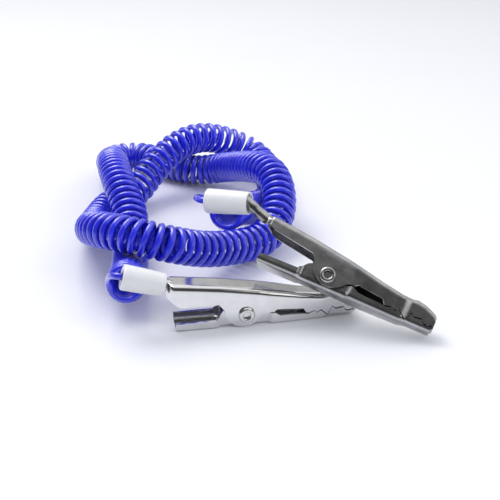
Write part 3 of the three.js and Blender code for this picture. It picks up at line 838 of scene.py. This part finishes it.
def lead_points(clip, first, tangent):
    """From inside a sleeve, straight out of it, then round into the first curl."""
    line = sleeve_line(clip)
    start, axis = line["wire"], line["axis"]
    out = line["out"] + axis * LEAD_OUT
    reach = (out - first).length * LEAD_REACH
    b, c = out + axis * reach, first - tangent * reach
    straight = (out - start).length
    steps = max(4, round(straight / STRAIGHT_STEP))
    path = [start + axis * (straight * i / steps) for i in range(steps)]
    for i in range(LEAD_STEPS):
        t = i / LEAD_STEPS
        u = 1 - t
        path.append(out * u ** 3 + b * (3 * u * u * t) + c * (3 * u * t * t) + first * t ** 3)
    return path


def cord_points(c):
    """The wire's centre line from the front sleeve to the rear one."""
    curls = curl_points(c)
    head = lead_points("front", curls[0], (curls[1] - curls[0]).normalized())
    tail = lead_points("rear", curls[-1], (curls[-2] - curls[-1]).normalized())
    return head + curls + list(reversed(tail))


# ---------------------------------------------------------------- operators

def settings():
    """The add-on's settings in this scene."""
    return bpy.context.scene.ground_cord


class GROUNDCORD_OT_stage(bpy.types.Operator):
    """Camera, soft light and the pale surface"""
    bl_idname = "groundcord.stage"
    bl_label = "Camera, light and floor"

    def execute(self, context):
        s = settings().stage
        scene = context.scene
        scene.view_settings.view_transform = "Standard"
        camera = bpy.data.objects.new("camera", bpy.data.cameras.new("camera"))
        camera.data.lens, camera.data.sensor_width = s.lens, 36.0
        camera.location = (Vector((0, 0, s.height)) - ORIGIN) * MM
        camera.rotation_euler = (math.pi / 2 - s.tilt, 0, 0)
        camera.data.clip_start, camera.data.clip_end = 0.01, 20.0
        scene.collection.objects.link(camera)
        scene.camera = camera
        self.world(scene, s)
        self.lamps(scene)
        self.floor(s)
        return {"FINISHED"}

    def world(self, scene, s):
        """White to the camera; in reflections bright above and behind, dark on the viewer's side."""
        scene.world = bpy.data.worlds.new("studio")
        scene.world.use_nodes = True
        g = Graph(scene.world.node_tree)
        direction = g.node("ShaderNodeTexCoord", out="Generated")
        height = g.node("ShaderNodeSeparateXYZ", {}, {0: direction}, out="Z")
        away = g.node("ShaderNodeSeparateXYZ", {}, {0: direction}, out="Y")
        behind = g.greys(height, BEHIND)
        viewer = g.greys(height, VIEWER_SIDE)
        sky = g.mix(g.greys(away * 0.5 + 0.5, CHANGE_OVER), viewer, behind)
        glossy = g.node("ShaderNodeLightPath", out="Is Glossy Ray")
        seen = g.node("ShaderNodeLightPath", out="Is Camera Ray")
        through = g.node("ShaderNodeLightPath", out="Is Transmission Ray")
        light = g.mix(glossy, (*times(s.shade, AMBIENT_LEVEL), 1.0), sky)
        white = g.mix(seen | through, light, (1, 1, 1, 1))
        back = g.node("ShaderNodeBackground", {}, {"Color": white, "Strength": 1.0})
        g.node("ShaderNodeOutputWorld", {}, {"Surface": back})

    def lamps(self, scene):
        """A large soft key from above and behind on the left, and a weak fill from the right."""
        for name, what in LAMPS.items():
            lamp = bpy.data.objects.new(name, bpy.data.lights.new(name, "AREA"))
            lamp.data.shape, lamp.data.size, lamp.data.energy = "DISK", what["size"], what["power"]
            lamp.data.color = LAMP_COLOUR
            lamp.location = what["place"]
            aim = LAMP_TARGET - Vector(what["place"])
            lamp.rotation_euler = aim.to_track_quat("-Z", "Y").to_euler()
            scene.collection.objects.link(lamp)

    def floor(self, s):
        """The pale surface: it looks nearly white, but throws less light back on the part."""
        def build(g):
            camera = g.node("ShaderNodeLightPath", out="Is Camera Ray")
            glossy = g.node("ShaderNodeLightPath", out="Is Glossy Ray")
            pale = g.tones(g.noise(0.02), times(s.floor, 0.99), tuple(s.floor))
            return {"Base Color": g.mix(camera | glossy, FLOOR_BOUNCE, pale), "Roughness": 0.22,
                    "Specular IOR Level": 0.35}
        far = FLOOR_HALF / MM
        corners = [(-far, -far, 0), (far, -far, 0), (far, far, 0), (-far, far, 0)]
        material = surface("pale_surface", build)
        floor = add_object("floor", corners, [(0, 1, 2, 3)], material, smooth=False)


class GROUNDCORD_OT_finishes(bpy.types.Operator):
    """The materials of the cord, the plating, the spring wire and the sleeves"""
    bl_idname = "groundcord.finishes"
    bl_label = "Finishes"

    def execute(self, context):
        c, k = settings().cord, settings().clips
        for clip in CLIPS:
            look = PLATING_AND_PAINTED_SHADE[clip]
            # The rear clip's lower level is painted shade.
            nickel_plate(f"{clip}_nickel_plate", times(k.nickel, look["level"]), look["dull"])
        surface("spring_steel", spring_steel)
        surface("white_plastic", white_plastic(tuple(k.sleeve_white)))
        surface("blue_insulation", blue_insulation(tuple(c.blue)))
        surface("bare_copper", bare_copper(tuple(k.copper)))
        return {"FINISHED"}


class GROUNDCORD_OT_cord(bpy.types.Operator):
    """The curly cord, one unbroken wire from sleeve to sleeve"""
    bl_idname = "groundcord.cord"
    bl_label = "Curly cord"

    def execute(self, context):
        c = settings().cord
        path = cord_points(c)
        blue = bpy.data.materials["blue_insulation"]
        cord = sweep("curly_blue_wire", path, c.wire / 2, c.sides, blue)
        route = [p * MM for p in path]
        length = sum((b - a).length for a, b in zip(route, route[1:]))
        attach(cord, BODY)
        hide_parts("coiled_cord")
        return {"FINISHED"}


class GROUNDCORD_OT_jaws(bpy.types.Operator):
    """Upper and lower jaws of both clips"""
    bl_idname = "groundcord.jaws"
    bl_label = "Jaws"

    def execute(self, context):
        s = settings().clips
        for clip in CLIPS:
            jaws = ((upper_jaw, "upper_jaw", BODY), (lower_jaw, "lower_jaw", f"{clip}_lower"))
            for build, node, body in jaws:
                ob = build(clip, s)
                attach(ob, body)
                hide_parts(f"{clip}_{node}")
        return {"FINISHED"}


class GROUNDCORD_OT_rivets(bpy.types.Operator):
    """The hollow rivet of each hinge"""
    bl_idname = "groundcord.rivets"
    bl_label = "Rivets"

    def execute(self, context):
        for clip in CLIPS:
            ob = rivet(clip)
            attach(ob, BODY)
            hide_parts(f"{clip}_rivet")
        return {"FINISHED"}


class GROUNDCORD_OT_springs(bpy.types.Operator):
    """The torsion spring of each hinge"""
    bl_idname = "groundcord.springs"
    bl_label = "Springs"

    def execute(self, context):
        line, wire = spring_line()
        near, far = SPRING_FOLLOWS
        for clip in CLIPS:
            m = pose_matrix(clip)
            ob = sweep(f"{clip}_torsion_spring", [m @ p for p in line], wire / 2, 10,
                       bpy.data.materials["spring_steel"])
            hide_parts(f"{clip}_spring")
            (m @ Vector((0, 0, HINGE_Z - near))) * MM
            (m @ Vector((0, 0, HINGE_Z - far))) * MM
            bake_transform(ob)
        return {"FINISHED"}


class GROUNDCORD_OT_sleeves(bpy.types.Operator):
    """The white sleeves and the bare conductor ends in the crimps"""
    bl_idname = "groundcord.sleeves"
    bl_label = "Sleeves and conductor ends"

    def execute(self, context):
        for clip in CLIPS:
            ob = sleeve(clip)
            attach(ob, BODY)
            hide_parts(f"{clip}_sleeve")
            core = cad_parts[f"{clip}_conductor_end"]
            core.data.materials.clear()
            core.data.materials.append(bpy.data.materials["bare_copper"])
        return {"FINISHED"}


class GroundCordSettings(bpy.types.PropertyGroup):
    """All the settings of the ground cord"""
    cord: bpy.props.PointerProperty(type=CordSettings)
    clips: bpy.props.PointerProperty(type=ClipSettings)
    stage: bpy.props.PointerProperty(type=StageSettings)


OPERATORS = (GROUNDCORD_OT_stage, GROUNDCORD_OT_finishes, GROUNDCORD_OT_cord, GROUNDCORD_OT_jaws,
             GROUNDCORD_OT_rivets, GROUNDCORD_OT_springs, GROUNDCORD_OT_sleeves)


class GROUNDCORD_PT_panel(bpy.types.Panel):
    """Lists the pieces of the ground cord"""
    bl_idname = "GROUNDCORD_PT_panel"
    bl_label = "Ground Cord"
    bl_space_type = "VIEW_3D"
    bl_region_type = "UI"
    bl_category = "Ground Cord"

    def draw(self, context):
        for operator in OPERATORS:
            self.layout.operator(operator.bl_idname)
        for group in ("cord", "clips", "stage"):
            box = self.layout.box()
            block = getattr(context.scene.ground_cord, group)
            for key in block.__annotations__:
                box.prop(block, key)


CLASSES = (CordSettings, ClipSettings, StageSettings, GroundCordSettings, *OPERATORS,
           GROUNDCORD_PT_panel)


def register():
    for cls in CLASSES:
        bpy.utils.register_class(cls)
    bpy.types.Scene.ground_cord = bpy.props.PointerProperty(type=GroundCordSettings)


def unregister():
    del bpy.types.Scene.ground_cord
    for cls in reversed(CLASSES):
        bpy.utils.unregister_class(cls)


def main():
    register()
    for operator in OPERATORS:
        group, name = operator.bl_idname.split(".")
        getattr(getattr(bpy.ops, group), name)()


if __name__ == "__main__":
    main()
